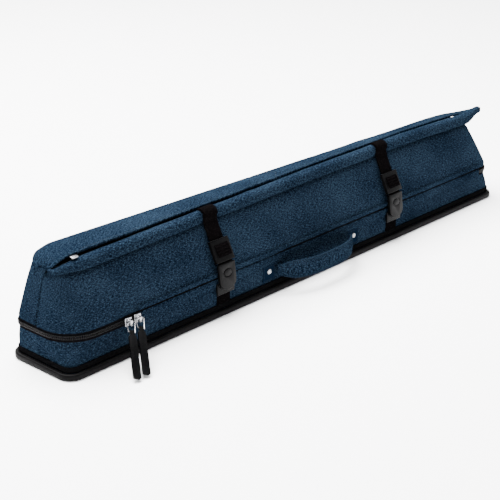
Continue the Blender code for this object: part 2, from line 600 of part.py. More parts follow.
for label, sx in (("near", -STRAP_X), ("far", STRAP_X)):
    # the web hangs from the lip's edge to the head of the buckle plate
    head = Vector((sx, TOP_FRONT_Y - 0.0066, front_top(sx) - 0.0026))
    foot_pt = Vector((sx, FRONT - 0.0062, plate_top.z + GAP))
    fall = (foot_pt - head).normalized()
    length = (foot_pt - head).length
    lean = atan2(-fall.z, -fall.y)         # turn about X that lays a box's Y along the strap
    outward = Vector((0.0, fall.z, -fall.y))
    strap_pivot = pivot("strap_axis_" + label, head, lid_pivot)
    web_size = (WEB_WIDTH, length - 0.0008, WEB_T)
    web = block("strap_web_" + label, head + fall * (length / 2), web_size, BLACK, lean)

    glide_mid = head + fall * (length - 0.0020 - GLIDE_LENGTH / 2)
    glide = block("strap_glide_" + label, glide_mid + outward * 0.0001,
                  (GLIDE_WIDTH, GLIDE_LENGTH, GLIDE_T), PLASTIC, lean)
    throat_size = (WEB_WIDTH + 0.0016, GLIDE_LENGTH * 1.5, WEB_T + 0.0012)
    boolean(glide, block("throat_" + label, glide_mid, throat_size, None, lean))
    fold_middle = glide_mid + outward * (0.0001 + GLIDE_T / 2 + GAP + FOLD_T / 2)
    fold = block("glide_fold_" + label, fold_middle, (WEB_WIDTH - 0.001, FOLD_LENGTH, FOLD_T), BLACK, lean)
    glide_pivot = pivot("glide_slide_" + label, glide_mid, strap_pivot)
    carry(glide_pivot, glide, fold)

    # plate: square head, rounded foot, an oval well for the button
    at_top = plate_top + Vector((sx, 0, 0))
    button_at = at_top + down * BUTTON_DROP
    well_shape = oval(BUTTON_WIDTH, BUTTON_HEIGHT)
    cap_shape = oval(BUTTON_WIDTH - 3 * GAP, BUTTON_HEIGHT - 3 * GAP)
    plate = to_mesh(flat("buckle_plate_" + label, plate_shape, PLATE_T, at_top, plate_turn, PLASTIC))
    well_at = button_at + face * (PLATE_T / 2)
    boolean(plate, to_mesh(flat("well_" + label, well_shape, WELL_DEPTH * 2, well_at, plate_turn, None)))
    cap_at = button_at + face * (PLATE_T / 2 - BUTTON_T / 2 + GAP)
    button = flat("buckle_button_" + label, cap_shape, BUTTON_T, cap_at, plate_turn, PLASTIC)
    button_pivot = pivot("button_press_" + label, button_at, strap_pivot)
    carry(button_pivot, button)
    carry(strap_pivot, web, plate)

# ---------------------------------------------------------------- two zipper sliders with long pulls
SPLAY = Vector((-0.47, -0.63, 0.0)).normalized()
down_share = (PARTING_Z - PULL_TIP_Z) / PULL_LENGTH
LEAN = SPLAY * sqrt(1 - down_share ** 2) - Vector((0, 0, down_share))
ACROSS = (Vector((1, 0, 0)) - LEAN * LEAN.x).normalized()
FACE = ACROSS.cross(LEAN)
AXIS_OUT = PROUD + 0.0060
slider_face = FRONT - PROUD - SLIDER_T

for label, cx in SLIDER_X.items():
    centre = Vector((cx, FRONT - AXIS_OUT, PARTING_Z))
    slider = slab("slider_" + label, cx - SLIDER_SIZE / 2, cx + SLIDER_SIZE / 2, slider_face, FRONT - PROUD,
                  PARTING_Z - SLIDER_SIZE / 2, PARTING_Z + SLIDER_SIZE / 2, METAL)
    bridge = slab("bridge_" + label, cx - 0.0020, cx + 0.0020, centre.y - 0.0024, slider_face + 0.0010,
                  PARTING_Z - 0.0038, PARTING_Z + 0.0038, None)
    eye = slab("eye_" + label, cx - 0.0040, cx + 0.0040, centre.y - 0.0012, slider_face,
               PARTING_Z - 0.0025, PARTING_Z + 0.0025, None)
    boolean(bridge, eye)
    boolean(slider, bridge, "UNION")

    # wire link: a closed loop through the slider's eye and the head of the pull
    curve = bpy.data.curves.new("pull_link_" + label, "CURVE")
    curve.dimensions = "3D"
    curve.bevel_depth = WIRE_R
    curve.bevel_resolution = 2
    path = curve.splines.new("POLY")
    head, heel = Vector((LINK_WIDTH / 2, 0, 0)), ACROSS * LINK_FOOT / 2
    stops = [head, heel + LEAN * EYE_TO_BORE, -heel + LEAN * EYE_TO_BORE, -head]
    path.points.add(len(stops) - 1)
    for point, spot in zip(path.points, stops):
        point.co = (*spot, 1.0)
    path.use_cyclic_u = True
    link = bpy.data.objects.new("pull_link_" + label, curve)
    link.location = centre
    bpy.context.scene.collection.objects.link(link)
    adopt(link, "pull_link_" + label, METAL)

    # long flat pull with a narrow drilled head, drawn in its own plane
    neck, wide = NECK_WIDTH / 2, PULL_WIDTH / 2
    side = [(neck, -EYE_TO_BORE + 0.0022), (neck, -0.0170), (wide, -0.0200), (wide, -PULL_LENGTH + 0.0014),
            (wide - 0.0014, -PULL_LENGTH)]
    edge = side + [(-x, y) for x, y in reversed(side)]
    frame = Matrix((ACROSS, -LEAN, -FACE)).transposed().to_euler()
    tab = to_mesh(flat("pull_tab_" + label, edge, PULL_T, centre, frame, RUBBER))
    aim = ACROSS.to_track_quat("Z", "Y").to_euler()
    bore = cylinder("bore_" + label, centre + LEAN * EYE_TO_BORE, WIRE_R + GAP, 0.016, aim, sides=12)
    boolean(tab, bore)
    slider_pivot = pivot("slider_travel_" + label, centre)
    pull_pivot = pivot("pull_axis_" + label, centre, slider_pivot)
    carry(slider_pivot, slider)
    carry(pull_pivot, link, tab)
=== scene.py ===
"""A long padded telescope case: navy heathered cloth over foam, on a black moulded rim.

Metres. X runs along the case, the handle side is -Y, and the lid is hinged at +Y.
"""
from math import atan2, cos, pi, radians, sin
import bpy
from mathutils import Matrix, Vector, noise


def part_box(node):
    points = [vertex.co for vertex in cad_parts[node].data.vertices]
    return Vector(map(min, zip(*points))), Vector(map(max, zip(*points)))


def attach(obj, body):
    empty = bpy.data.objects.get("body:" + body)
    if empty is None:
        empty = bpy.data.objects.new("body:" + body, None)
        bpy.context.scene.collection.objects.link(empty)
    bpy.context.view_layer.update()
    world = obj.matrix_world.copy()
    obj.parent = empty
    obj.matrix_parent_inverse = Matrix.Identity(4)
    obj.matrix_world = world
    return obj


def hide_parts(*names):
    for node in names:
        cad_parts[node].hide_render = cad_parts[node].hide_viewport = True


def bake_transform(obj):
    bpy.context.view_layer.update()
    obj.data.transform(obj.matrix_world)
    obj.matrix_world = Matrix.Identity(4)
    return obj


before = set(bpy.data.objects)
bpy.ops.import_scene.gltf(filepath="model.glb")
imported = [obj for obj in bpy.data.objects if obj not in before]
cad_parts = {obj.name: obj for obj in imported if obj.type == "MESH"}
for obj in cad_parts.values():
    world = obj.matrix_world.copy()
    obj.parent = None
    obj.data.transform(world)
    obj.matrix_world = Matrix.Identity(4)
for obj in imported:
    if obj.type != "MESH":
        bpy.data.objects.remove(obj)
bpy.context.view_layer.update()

# ---------------------------------------------------------------- camera, light and floor
# The case stands on a plain white studio floor and is seen from its near front corner,
# a little above. A broad soft light overhead makes the top brighter than the sides.
bpy.ops.object.camera_add(location=(-1.42, -1.252, 0.803), rotation=(radians(67.6), 0, radians(-47.1)))
camera = bpy.context.object
camera.data.lens = 100.8
camera.data.sensor_width = 36
bpy.context.scene.camera = camera


def soft_light(name, place, aim, size, power):
    bpy.ops.object.light_add(type="AREA", location=place)
    lamp = bpy.context.object
    lamp.name = name
    lamp.data.size = size
    lamp.data.energy = power
    lamp.rotation_euler = (Vector(aim) - Vector(place)).to_track_quat("-Z", "Y").to_euler()


soft_light("overhead_light", (-0.2, 0.8, 2.5), (0, 0, 0), 2.4, 800)
soft_light("near_light", (-2.6, -1.2, 1.3), (-0.3, 0, 0.05), 1.2, 20)
soft_light("front_light", (0.3, -2.8, 1.5), (0, 0, 0.05), 1.6, 6)

world = bpy.data.worlds.new("studio")
world.use_nodes = True
world.node_tree.nodes["Background"].inputs["Color"].default_value = (1.0, 1.0, 1.0, 1.0)
world.node_tree.nodes["Background"].inputs["Strength"].default_value = 1.35
bpy.context.scene.world = world

bpy.ops.mesh.primitive_plane_add(size=30, location=(0, 0, -0.0005))
floor = bpy.context.object
floor.name = "studio_floor"
floor_paint = bpy.data.materials.new("floor_paint")
floor_paint.use_nodes = True
floor_shader = floor_paint.node_tree.nodes["Principled BSDF"]
floor_shader.inputs["Base Color"].default_value = (0.93, 0.93, 0.935, 1.0)
floor_shader.inputs["Roughness"].default_value = 0.8
floor_shader.inputs["Specular IOR Level"].default_value = 0.1
floor.data.materials.append(floor_paint)

# ---------------------------------------------------------------- black moulded rim and base
# A moulded rubbery edging runs round the foot of the case. It holds the stiff base board
# and a black band of tape that covers the lower edge of the wall.


class Finish:
    """A material in the making: its nodes are added by short calls."""

    def __init__(self, name, rough, gloss, on_uv, sheen=0.0):
        self.mat = bpy.data.materials.new(name)
        self.mat.use_nodes = True
        self.on_uv = on_uv
        self.tree = self.mat.node_tree
        self.shader = self.tree.nodes["Principled BSDF"]
        self.shader.inputs["Roughness"].default_value = rough
        self.shader.inputs["Specular IOR Level"].default_value = gloss
        self.shader.inputs["Sheen Weight"].default_value = sheen
        self.shader.inputs["Sheen Roughness"].default_value = 0.5

    def add(self, kind, settings=None, **values):
        node = self.tree.nodes.new(kind)
        for key, value in (settings or {}).items():
            setattr(node, key, value)
        for key, value in values.items():
            node.inputs[key.replace("_", " ")].default_value = value
        return node

    def link(self, source, out, target, into):
        self.tree.links.new(source.outputs[out], target.inputs[into])

    def noise(self, coords, stretch, detail=3.0, rough=0.6):
        """Streaked noise, so many waves to the metre along each axis."""
        mapping = self.add("ShaderNodeMapping")
        mapping.inputs["Scale"].default_value = stretch
        self.link(coords, "UV" if self.on_uv else "Object", mapping, "Vector")
        texture = self.add("ShaderNodeTexNoise", Scale=1.0, Detail=detail, Roughness=rough)
        self.link(mapping, "Vector", texture, "Vector")
        return texture

    def ramp(self, source, out, stops, target, into):
        node = self.add("ShaderNodeValToRGB")
        marks = node.color_ramp.elements
        while len(marks) < len(stops):
            marks.new(0.5)
        for mark, (place, colour) in zip(marks, stops):
            mark.position = place
            mark.color = (*colour, 1.0)
        self.link(source, out, node, "Fac")
        self.link(node, "Color", target, into)

    def bump(self, source, out, strength, depth, under=None):
        node = self.add("ShaderNodeBump", Strength=strength, Distance=depth)
        self.link(source, out, node, "Height")
        if under:
            self.link(under, "Normal", node, "Normal")
        return node


def moulded(name, dark, light, rough, grain, depth, gloss=0.4):
    """Moulded rubber or plastic with a fine grain."""
    f = Finish(name, rough, gloss, on_uv=False)
    coords = f.add("ShaderNodeTexCoord")
    fine = f.noise(coords, (grain, grain, grain))
    broad = f.noise(coords, (35, 35, 60), 4.0)
    f.ramp(broad, "Fac", ((0.35, dark), (0.7, light)), f.shader, "Base Color")
    worn = (rough * 0.85,) * 3
    dull = (min(1, rough * 1.2),) * 3
    f.ramp(broad, "Fac", ((0.3, worn), (0.75, dull)), f.shader, "Roughness")
    f.link(f.bump(fine, "Fac", 0.25, depth), "Normal", f.shader, "Normal")
    return f.mat


rim_rubber = moulded("rim_rubber", (0.0008, 0.0007, 0.0008), (0.0022, 0.0020, 0.0022),
                     0.50, 1800, 0.0002, 0.03)
base_board_finish = moulded("base_board_finish", (0.0045, 0.0045, 0.0050),
                            (0.0085, 0.0085, 0.0090), 0.75, 900, 0.0002)


def select_none():
    if bpy.context.object and bpy.context.object.mode != "OBJECT":
        bpy.ops.object.mode_set(mode="OBJECT")
    bpy.ops.object.select_all(action="DESELECT")


def make_active(ob):
    select_none()
    ob.select_set(True)
    bpy.context.view_layer.objects.active = ob


def finish_piece(ob, name, material, body, nodes=(), smooth=40):
    """Apply what is on a piece, lay its place into its mesh, and set it on its body."""
    make_active(ob)
    for modifier in list(ob.modifiers):
        bpy.ops.object.modifier_apply(modifier=modifier.name)
    bpy.ops.object.transform_apply(location=True, rotation=True, scale=True)
    bpy.ops.object.shade_smooth_by_angle(angle=radians(smooth))
    ob.name = name
    ob.data.name = name
    ob.data.materials.clear()
    ob.data.materials.append(material)
    if body:
        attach(ob, body)
    if nodes:
        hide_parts(*nodes)
    return ob


def bevel_where(ob, test, width, segments):
    """In edit mode, bevel the edges that pass the test."""
    make_active(ob)
    bpy.ops.object.mode_set(mode="EDIT")
    bpy.ops.mesh.select_mode(type="EDGE")
    bpy.ops.mesh.select_all(action="DESELECT")
    bpy.ops.object.mode_set(mode="OBJECT")
    for edge in ob.data.edges:
        a, b = (ob.data.vertices[i].co for i in edge.vertices)
        edge.select = test(a, b)
    bpy.ops.object.mode_set(mode="EDIT")
    bpy.ops.mesh.bevel(offset=width, segments=segments, affect="EDGES")
    bpy.ops.object.mode_set(mode="OBJECT")


def upright_block(low, high, corner, segments):
    """A box between two corners with its four upright edges rounded."""
    low, high = Vector(low), Vector(high)
    select_none()
    bpy.ops.mesh.primitive_cube_add(size=1, location=(low + high) / 2, scale=high - low)
    ob = bpy.context.object
    bpy.ops.object.transform_apply(location=True, rotation=True, scale=True)
    bevel_where(ob, lambda a, b: abs(a.z - b.z) > 1e-5, corner, segments)
    return ob


def round_edges(ob, width, segments, angle):
    """Round the edges that turn by more than the angle, in degrees."""
    rounding = ob.modifiers.new("rounding", "BEVEL")
    rounding.width = width
    rounding.segments = segments
    rounding.limit_method = "ANGLE"
    rounding.angle_limit = radians(angle)


def paint_node(name, material):
    """Give its material to a CAD node that is shown as it is."""
    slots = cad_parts[name].data.materials
    slots.clear()
    slots.append(material)


def cut(ob, tool):
    """Take the tool's shape out of a piece, and remove the tool."""
    make_active(ob)
    mod = ob.modifiers.new("cut", "BOOLEAN")
    mod.operation = "DIFFERENCE"
    mod.solver = "EXACT"
    mod.object = tool
    bpy.ops.object.modifier_apply(modifier=mod.name)
    bpy.data.objects.remove(tool, do_unlink=True)


wall_low, wall_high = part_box("tray_wall")
rim_low, rim_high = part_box("base_rim")
FOOT_R = 0.014
RIM_REACH = wall_low.x - rim_low.x
RIM_GAP = 0.0003                           # between the rim and the wall it holds
CUT_PAST = 0.01                            # the cutter stands this far past the rim
RIM_ROUND = 0.0028

rim = upright_block(rim_low, rim_high, FOOT_R + RIM_REACH, 12)
hole_low = wall_low - Vector((RIM_GAP, RIM_GAP, CUT_PAST))
hole_high = Vector((wall_high.x + RIM_GAP, wall_high.y + RIM_GAP, rim_high.z + CUT_PAST))
cut(rim, upright_block(hole_low, hole_high, FOOT_R, 12))
round_edges(rim, RIM_ROUND, 4, 60)
finish_piece(rim, "moulded_rim", rim_rubber, "tray", ["base_rim"], 50)

paint_node("base_board", base_board_finish)

# ---------------------------------------------------------------- cloth, webbing and tape finishes
# The outer cloth is a plain weave of dark and lighter blue yarns, with short slubs that
# lie along the case. The webbing is a tight black twill, and the tape a fine flat weave.
YARN_SHARE = 0.45                          # how much the yarns and the broad patches colour the cloth
PATCH_SHARE = 0.10


def woven(name, stops, streaks, thread, rough, sheen, depth):
    """Woven cloth: yarn streaks both ways for the colour and crossing threads for the relief."""
    f = Finish(name, rough, 0.0, on_uv=True, sheen=sheen)
    coords = f.add("ShaderNodeTexCoord")
    weft = f.noise(coords, (streaks[0], streaks[1], 1), 4.0, 0.7)
    warp = f.noise(coords, (streaks[1], streaks[0] * 1.6, 1), 4.0, 0.7)
    broad = f.noise(coords, (9, 12, 1), 2.0)
    yarns = f.add("ShaderNodeMath", {"operation": "ADD"})
    f.link(weft, "Fac", yarns, 0)
    f.link(warp, "Fac", yarns, 1)
    mixed = f.add("ShaderNodeMath", {"operation": "MULTIPLY_ADD"})
    mixed.inputs[1].default_value = YARN_SHARE
    f.link(yarns, "Value", mixed, 0)
    share = f.add("ShaderNodeMath", {"operation": "MULTIPLY"})
    share.inputs[1].default_value = PATCH_SHARE
    f.link(broad, "Fac", share, 0)
    f.link(share, "Value", mixed, 2)
    f.ramp(mixed, "Value", stops, f.shader, "Base Color")
    last = None
    for turn, height in ((0, depth), (pi / 2, depth * 0.8)):
        mapping = f.add("ShaderNodeMapping")
        mapping.inputs["Rotation"].default_value = (0, 0, turn)
        f.link(coords, "UV", mapping, "Vector")
        threads = f.add("ShaderNodeTexWave", Scale=thread, Distortion=0.6, Detail=1.0)
        f.link(mapping, "Vector", threads, "Vector")
        last = f.bump(threads, "Fac", 0.35, height, last)
    last = f.bump(weft, "Fac", 0.3, depth * 1.2, last)
    f.link(last, "Normal", f.shader, "Normal")
    return f.mat


NAVY = ((0.455, (0.0004, 0.0012, 0.0030)), (0.50, (0.0017, 0.0047, 0.0105)),
        (0.545, (0.0130, 0.0230, 0.0360)))
BLACK_WEB = ((0.42, (0.0005, 0.0004, 0.0005)), (0.51, (0.0013, 0.0011, 0.0012)),
             (0.62, (0.0050, 0.0043, 0.0046)))
TAPE_GREY = ((0.42, (0.0006, 0.0006, 0.0007)), (0.51, (0.0016, 0.0016, 0.0018)),
             (0.62, (0.0050, 0.0050, 0.0053)))
LINING_GREY = ((0.42, (0.0050, 0.0052, 0.0056)), (0.51, (0.0100, 0.0104, 0.0112)),
               (0.62, (0.022, 0.023, 0.025)))

navy_cloth = woven("navy_cloth", NAVY, (240, 1300), 620, 0.92, 0.0, 0.00026)
black_webbing = woven("black_webbing", BLACK_WEB, (260, 900), 260, 0.72, 0.0, 0.0004)
black_tape = woven("black_tape", TAPE_GREY, (300, 900), 500, 0.80, 0.0, 0.0002)
lining_cloth = woven("lining_cloth", LINING_GREY, (90, 380), 380, 0.92, 0.02, 0.0003)
sewing_thread = moulded("sewing_thread", (0.0006, 0.0018, 0.0044), (0.0034, 0.0075, 0.0150),
                        0.80, 2600, 0.0001, 0.1)
WELD = 0.00002                             # grid points closer than this become one


def lay_cloth(columns, rows, place, width, height, closed=False):
    """A fine grid laid where place(u, v) says, with a UV map in metres to keep the weave's size."""
    select_none()
    bpy.ops.mesh.primitive_grid_add(x_subdivisions=columns, y_subdivisions=rows, size=2)
    ob = bpy.context.object
    for vert in ob.data.vertices:
        vert.co = place((vert.co.x + 1) / 2, (vert.co.y + 1) / 2)
    for corner in ob.data.uv_layers.active.data:
        corner.uv = (corner.uv[0] * width, corner.uv[1] * height)
    if closed:
        bpy.ops.object.mode_set(mode="EDIT")
        bpy.ops.mesh.select_all(action="SELECT")
        bpy.ops.mesh.remove_doubles(threshold=WELD)
        bpy.ops.object.mode_set(mode="OBJECT")
    return ob


def thicken(ob, thickness, even=True):
    """Give a sheet its thickness, inward from where it lies."""
    wall = ob.modifiers.new("thickness", "SOLIDIFY")
    wall.thickness = thickness
    wall.offset = -1.0
    wall.use_even_offset = even


def wave(x, y, z, size, seed=0.0):
    """Slow unevenness of stretched cloth, from -1 to 1."""
    return noise.noise(Vector((x / size + seed, y / size, z / size)))


def smooth_step(a, b, x):
    t = min(1.0, max(0.0, (x - a) / (b - a)))
    return t * t * (3 - 2 * t)


def between(points, x):
    """The height of a bent line at x, from a few (x, height) points."""
    for (xa, ha), (xb, hb) in zip(points, points[1:]):
        if x <= xb:
            return ha + (hb - ha) * max(0.0, (x - xa)) / (xb - xa)
    return points[-1][1]


# ---------------------------------------------------------------- tray wall and base band
# The tray's wall is foam covered with cloth. Its corners are tight at the base and wide
# at the zipper. A black band is sewn round its foot, just over the rim.
PARTING_Z = wall_high.z + 0.0003           # the height where the tray and the lid part
WAIST_R = (0.046, 0.030, 0.016, 0.018)     # near front, far front, far back, near back
SEAM_NEAR = 0.008                          # where the end seam meets the zipper, along Y


def rounded(x0, x1, y0, y1, radii, seam):
    return dict(x0=x0, x1=x1, y0=y0, y1=y1, radii=radii, seam=seam)


foot = rounded(wall_low.x, wall_high.x, wall_low.y, wall_high.y, (FOOT_R,) * 4, SEAM_NEAR)
waist = rounded(wall_low.x, wall_high.x, wall_low.y, wall_high.y, WAIST_R, SEAM_NEAR)


def mix_plans(a, b, t):
    out = {k: a[k] + (b[k] - a[k]) * t for k in ("x0", "x1", "y0", "y1", "seam")}
    out["radii"] = tuple(p + (q - p) * t for p, q in zip(a["radii"], b["radii"]))
    return out


STRETCHES = ("near_low", "near_front", "front", "far_front", "far_low", "far_high", "far_back", "back",
             "near_back", "near_high")


def plan_point(p, stretch, t, out=0.0):
    """A point on one stretch of the plan, and so far outside it."""
    x0, x1, y0, y1 = p["x0"] - out, p["x1"] + out, p["y0"] - out, p["y1"] + out
    nf, ff, fb, nb = (r + out for r in p["radii"])
    straight = {
        "near_low": ((x0, p["seam"]), (x0, y0 + nf)), "front": ((x0 + nf, y0), (x1 - ff, y0)),
        "far_low": ((x1, y0 + ff), (x1, 0.0)), "far_high": ((x1, 0.0), (x1, y1 - fb)),
        "back": ((x1 - fb, y1), (x0 + nb, y1)), "near_high": ((x0, y1 - nb), (x0, p["seam"])),
    }
    if stretch in straight:
        (xa, ya), (xb, yb) = straight[stretch]
        return xa + (xb - xa) * t, ya + (yb - ya) * t
    cx, cy, r, start = {
        "near_front": (x0 + nf, y0 + nf, nf, pi), "far_front": (x1 - ff, y0 + ff, ff, 1.5 * pi),
        "far_back": (x1 - fb, y1 - fb, fb, 0.0), "near_back": (x0 + nb, y1 - nb, nb, 0.5 * pi),
    }[stretch]
    return cx + r * cos(start + pi / 2 * t), cy + r * sin(start + pi / 2 * t)


def course(names):
    """A function from 0..1 to (stretch, share), at an even pace along the given stretches."""
    lengths = []
    for name in names:
        line = [Vector(plan_point(waist, name, k / 8)) for k in range(9)]
        lengths.append(sum((b - a).length for a, b in zip(line, line[1:])))
    total = sum(lengths)

    def at(u):
        run = u * total
        for name, length in zip(names, lengths):
            if run <= length + 1e-9:
                return name, min(1.0, run / length)
            run -= length
        return names[-1], 1.0
    return at, total


round_case, ROUND_LENGTH = course(STRETCHES)
WALL_T = 0.003
TRAY_FOOT = 0.0004
TRAY_TOP = wall_high.z - 0.0004
TRAY_PUFF = 0.0011                         # how far the foam swells the wall


def tray_plan(z):
    return mix_plans(foot, waist, smooth_step(0.015, 0.045, z))


def tray_wall_place(u, v, out=0.0):
    z = TRAY_FOOT + (TRAY_TOP - TRAY_FOOT) * v
    stretch, t = round_case(u)
    x, y = plan_point(tray_plan(z), stretch, t)
    puff = TRAY_PUFF * sin(pi * smooth_step(0.014, 0.0500, z)) + 0.0005 * wave(x, y, z, 0.05, 3)
    if stretch == "back":                  # the wall lies flat under the hinge tape
        puff *= 1 - smooth_step(0.0, 0.02, min(t, 1 - t))
    x, y = plan_point(tray_plan(z), stretch, t, puff + out)
    return Vector((x, y, z))


tray_wall = lay_cloth(520, 26, tray_wall_place, ROUND_LENGTH, TRAY_TOP, closed=True)
thicken(tray_wall, WALL_T)
finish_piece(tray_wall, "tray_wall_cloth", navy_cloth, "tray", ["tray_wall"])


def ring(low, high, out, plan=tray_plan, run=None):
    """A band round the case between two heights, its edges eased inward."""
    path = run or round_case

    def place(u, v):
        z = low + (high - low) * v
        stretch, t = path(u)
        ease = 0.0006 * (abs(2 * v - 1) ** 6)
        x, y = plan_point(plan(z), stretch, t, out - ease)
        return Vector((x, y, z))
    return place


THREAD_T = 0.0005
STITCH_SHARE = 0.72                        # of each stitch length, the rest is the gap to the next


def mesh_object(name, verts, faces):
    mesh = bpy.data.meshes.new(name)
    mesh.from_pydata(verts, [], faces)
    ob = bpy.data.objects.new(name, mesh)
    bpy.context.scene.collection.objects.link(ob)
    return ob


def stitch_row(name, path, outward, body, gauge=0.0034):
    """A row of short raised stitches along a path of points, one loop of thread after another."""
    select_none()
    bpy.ops.mesh.primitive_cylinder_add(vertices=6, radius=0.5, depth=1, rotation=(0, pi / 2, 0))
    loop = bpy.context.object
    bpy.ops.object.transform_apply(location=False, rotation=True, scale=False)
    corners = [v.co.copy() for v in loop.data.vertices]
    faces = [tuple(f.vertices) for f in loop.data.polygons]
    bpy.data.objects.remove(loop, do_unlink=True)
    spans = [(b - a).length for a, b in zip(path, path[1:])]
    total = sum(spans)
    verts, loops = [], []
    for k in range(int(total / gauge)):
        run = (k + 0.5) * gauge
        for a, b, span in zip(path, path[1:], spans):
            if run <= span:
                break
            run -= span
        along_row = (b - a).normalized()
        up = (outward - along_row * outward.dot(along_row)).normalized()
        turn = Matrix((along_row, up.cross(along_row), up)).transposed()
        spot = a + along_row * run
        start = len(verts)
        for p in corners:
            sag = 0.5 * THREAD_T * (1 - (2 * p.x) ** 2)
            bent = Vector((p.x * gauge * STITCH_SHARE, p.y * THREAD_T, p.z * THREAD_T * 0.7 + sag))
            verts.append(spot + turn @ bent)
        loops += [tuple(start + i for i in f) for f in faces]
    row = mesh_object(name, verts, loops)
    finish_piece(row, name, sewing_thread, body, smooth=60)


band_low, band_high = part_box("base_band")
BAND_OUT = 0.0022
BAND_T = 0.0012
band_course = ring(band_low.z, band_high.z, BAND_OUT)
band = lay_cloth(420, 6, band_course, ROUND_LENGTH, band_high.z - band_low.z, closed=True)
thicken(band, BAND_T)
finish_piece(band, "base_band_tape", black_tape, "tray", ["base_band"])

# ---------------------------------------------------------------- foam floor, sides and cradles
# Grey foam lines the tray, and three foam blocks with a round seat hold the tube.
foam_finish = moulded("foam_finish", (0.012, 0.0125, 0.0135), (0.024, 0.025, 0.027), 0.96, 700, 0.0008, 0.1)


def soft_copy(node, name, material, body, width, segments=3, smooth=40):
    """A fuller copy of a CAD piece: its triangles merged, its edges rounded."""
    select_none()
    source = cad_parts[node]
    ob = bpy.data.objects.new(name, source.data.copy())
    bpy.context.scene.collection.objects.link(ob)
    make_active(ob)
    bpy.ops.object.mode_set(mode="EDIT")
    bpy.ops.mesh.select_all(action="SELECT")
    bpy.ops.mesh.remove_doubles(threshold=WELD)
    bpy.ops.mesh.dissolve_limited(angle_limit=radians(1.0))
    bpy.ops.object.mode_set(mode="OBJECT")
    round_edges(ob, width, segments, 30)
    return finish_piece(ob, name, material, body, [node], smooth)


for node in ("floor_pad", "cradle_near", "cradle_middle", "cradle_far"):
    soft_copy(node, node + "_foam", foam_finish, "tray", 0.0022)

side_low, side_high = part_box("side_pad")
SIDE_T = 0.006
SIDE_IN = 0.0041                           # the padding lies this far inside the cloth
QUILT_PITCH = 0.045


def side_pad_place(u, v):
    z = side_low.z + (side_high.z - side_low.z) * v
    stretch, t = round_case(u)
    quilt = 0.0006 * abs(sin(u * ROUND_LENGTH / QUILT_PITCH * pi)) - SIDE_IN
    return Vector((*plan_point(tray_plan(z), stretch, t, quilt), z))


side_pad = lay_cloth(420, 12, side_pad_place, ROUND_LENGTH, side_high.z - side_low.z, closed=True)
thicken(side_pad, SIDE_T)
finish_piece(side_pad, "side_pad_lining", lining_cloth, "tray", ["side_pad"])

# ---------------------------------------------------------------- zipper tapes, teeth and hems
# The two tapes of the main zipper run round the ends and the front, with a row of nylon
# teeth on each. Along the front, right of the sliders, two folded hems hide them.
nylon = moulded("nylon_teeth", (0.0010, 0.0010, 0.0012), (0.0030, 0.0030, 0.0033), 0.38, 1200, 0.0001, 0.08)
ZIPPER = ("near_back", "near_high", "near_low", "near_front", "front", "far_front", "far_low", "far_high",
          "far_back")
zip_course, ZIP_LENGTH = course(ZIPPER)
CORNER_LEFT = 0.011 / ZIP_LENGTH           # the teeth stop this far round each back corner


def zip_run(u):
    return zip_course(CORNER_LEFT + (1 - 2 * CORNER_LEFT) * u)


def flat_waist(z):
    return waist


TAPE_OUT = 0.0010
TAPE_T = 0.0008
for half in ("tray", "lid"):
    low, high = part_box(half + "_zip_tape")
    tape_course = ring(low.z, high.z, TAPE_OUT, plan=flat_waist, run=zip_run)
    tape = lay_cloth(360, 4, tape_course, ZIP_LENGTH, high.z - low.z)
    thicken(tape, TAPE_T)
    finish_piece(tape, half + "_zipper_tape", black_tape, half, [half + "_zip_tape"])

TOOTH_PITCH = 0.0026
TOOTH_SIZE = (0.0015, 0.0012, 0.0023)
TEETH_OUT = 0.0016
TEETH_HIGH = 0.0015                        # each row's middle, above or below the parting


def zipper_teeth(name, height, lean, body, node):
    """One rounded tooth, modelled once and copied along the tape."""
    select_none()
    bpy.ops.mesh.primitive_cube_add(size=1)
    tooth = bpy.context.object
    tooth.scale = TOOTH_SIZE
    bpy.ops.object.transform_apply(location=False, rotation=False, scale=True)
    bevel_where(tooth, lambda a, b: True, 0.0003, 1)
    points = [v.co.copy() for v in tooth.data.vertices]
    faces = [tuple(f.vertices) for f in tooth.data.polygons]
    count = int(ZIP_LENGTH * (1 - 2 * CORNER_LEFT) / TOOTH_PITCH)
    verts, quads = [], []
    for k in range(count):
        here = Vector(plan_point(waist, *zip_run(k / count), TEETH_OUT))
        ahead = Vector(plan_point(waist, *zip_run(min(1, (k + 0.3) / count)), TEETH_OUT))
        turn = atan2(ahead.y - here.y, ahead.x - here.x)
        start = len(verts)
        for p in points:
            x, y = p.x + lean * p.z * 0.3, p.y
            verts.append((here.x + x * cos(turn) - y * sin(turn), here.y + x * sin(turn) + y * cos(turn),
                          height + p.z))
        quads += [tuple(start + i for i in f) for f in faces]
    bpy.data.objects.remove(tooth, do_unlink=True)
    teeth = mesh_object(name, verts, quads)
    finish_piece(teeth, name, nylon, body, [node], 30)


zipper_teeth("tray_zipper_teeth", PARTING_Z - TEETH_HIGH, 1, "tray", "tray_zip_coil")
zipper_teeth("lid_zipper_teeth", PARTING_Z + TEETH_HIGH, -1, "lid", "lid_zip_coil")

HEM_T = 0.0009
HEM_DRAWN = 0.0006                         # each hem is drawn back from the parting by this much
for half in ("tray", "lid"):
    low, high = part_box(half + "_zip_hem")
    tall = high.z - low.z

    def hem_place(u, v, low=low, high=high, tall=tall, half=half):
        x = low.x + (high.x - low.x) * u
        roll = 0.0011 * abs(2 * v - 1) ** 4
        drawn = HEM_DRAWN * (1 - v if half == "lid" else -v)
        return Vector((x, low.y + roll + 0.00025 * wave(x, 0, v, 0.03, 8), low.z + tall * v + drawn))
    hem = lay_cloth(260, 8, hem_place, high.x - low.x, tall)
    thicken(hem, HEM_T)
    finish_piece(hem, half + "_zipper_hem", navy_cloth, half, [half + "_zip_hem"])

